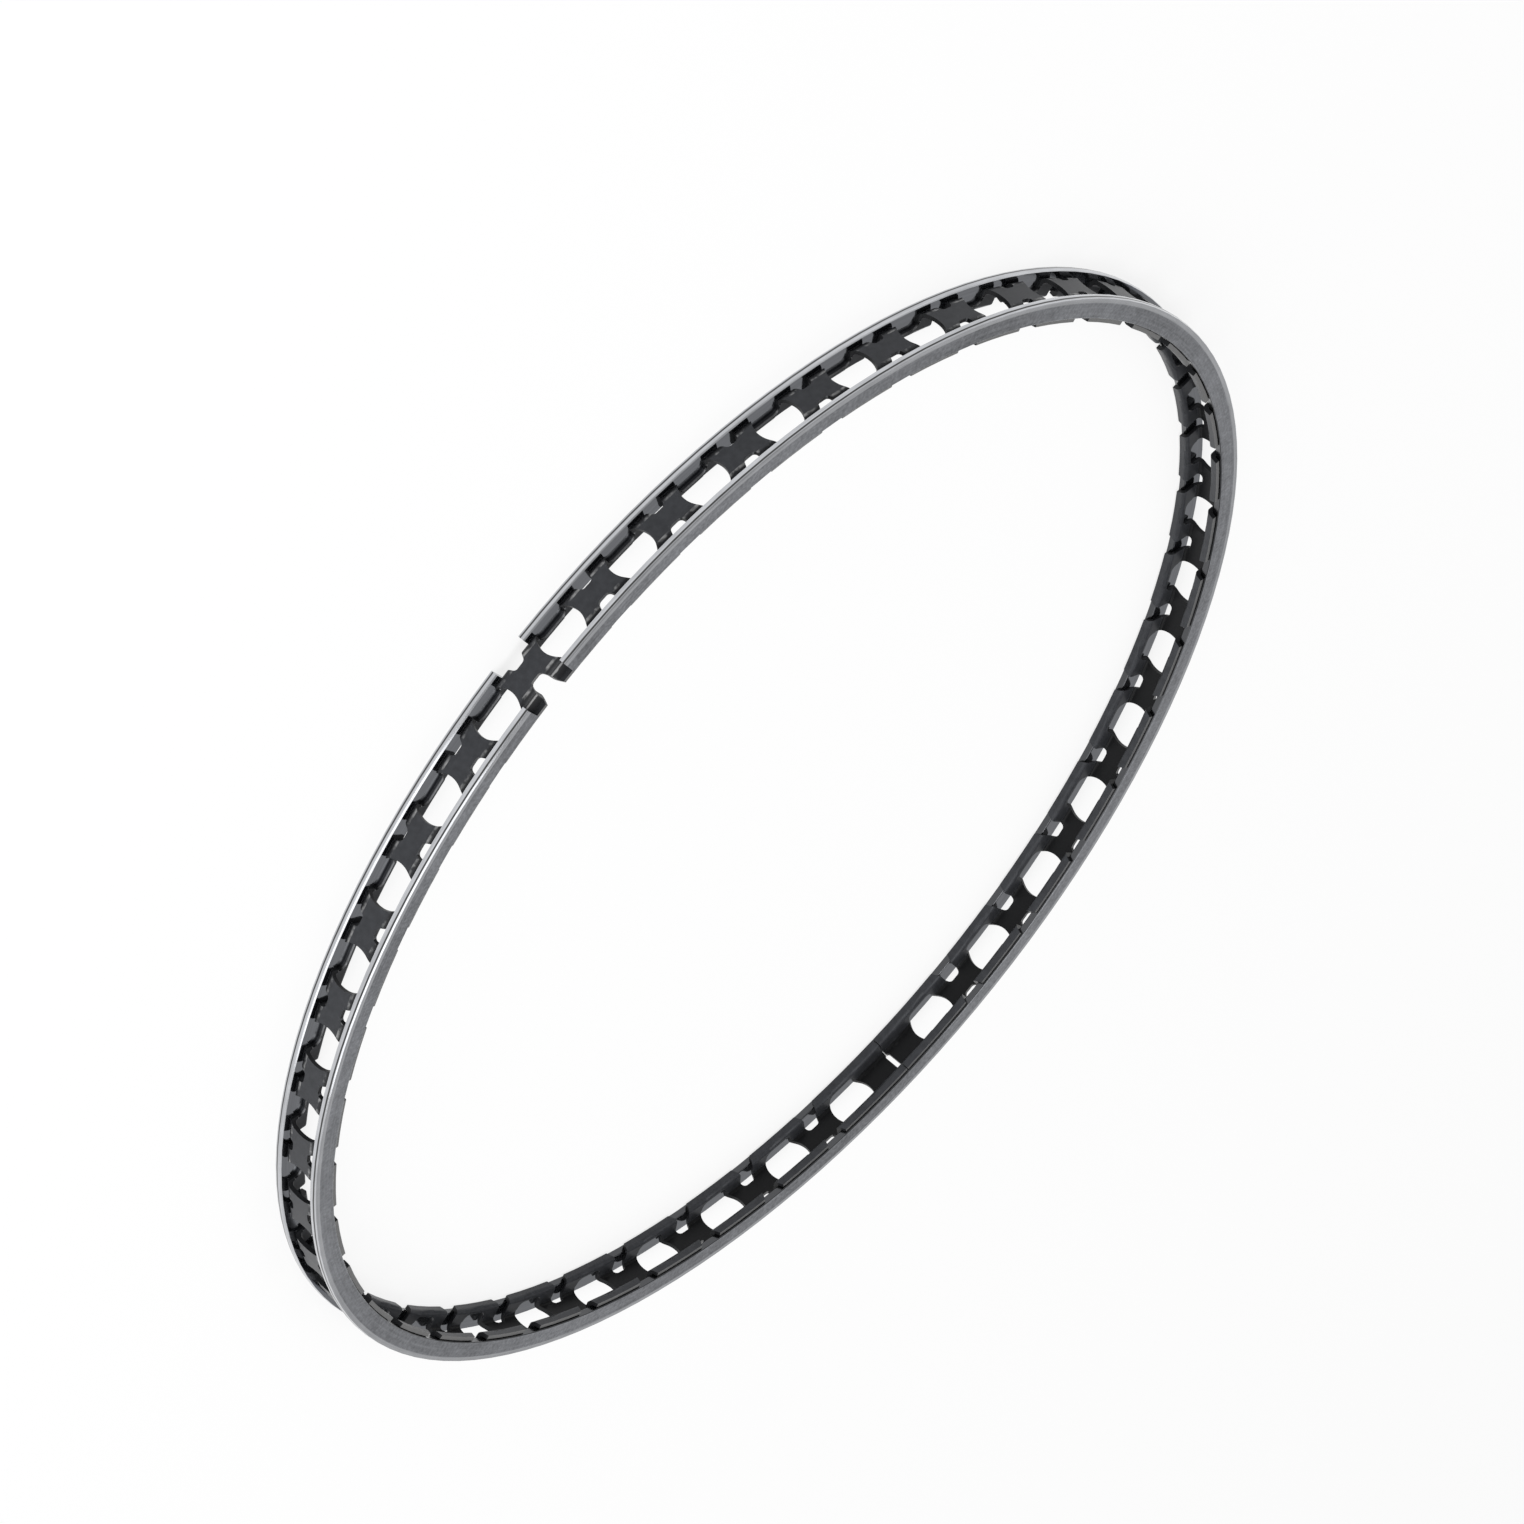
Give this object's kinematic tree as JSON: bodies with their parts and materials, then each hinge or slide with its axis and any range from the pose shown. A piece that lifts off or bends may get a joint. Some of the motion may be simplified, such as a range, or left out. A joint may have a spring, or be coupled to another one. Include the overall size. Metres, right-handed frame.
{
  "type": "oil control piston ring",
  "caption": "Oil control piston ring: split steel rails seated on a formed, windowed spring-steel expander that presses them against the cylinder wall.",
  "frame": {"origin": "centre of the ring, on the plane of its underside", "axes": "+Z along the ring's axis, the gaps of the rails face -Y"},
  "size_m": [0.08, 0.08, 0.0035],
  "materials": {
    "rail_steel": "satin side faces and a polished running face",
    "expander_steel": "dark spring steel with bright sheared edges"
  },
  "bodies": {
    "root": {"upper_rail": "rail_steel", "lower_rail": "rail_steel", "expander": "expander_steel"}
  },
  "joints": []
}
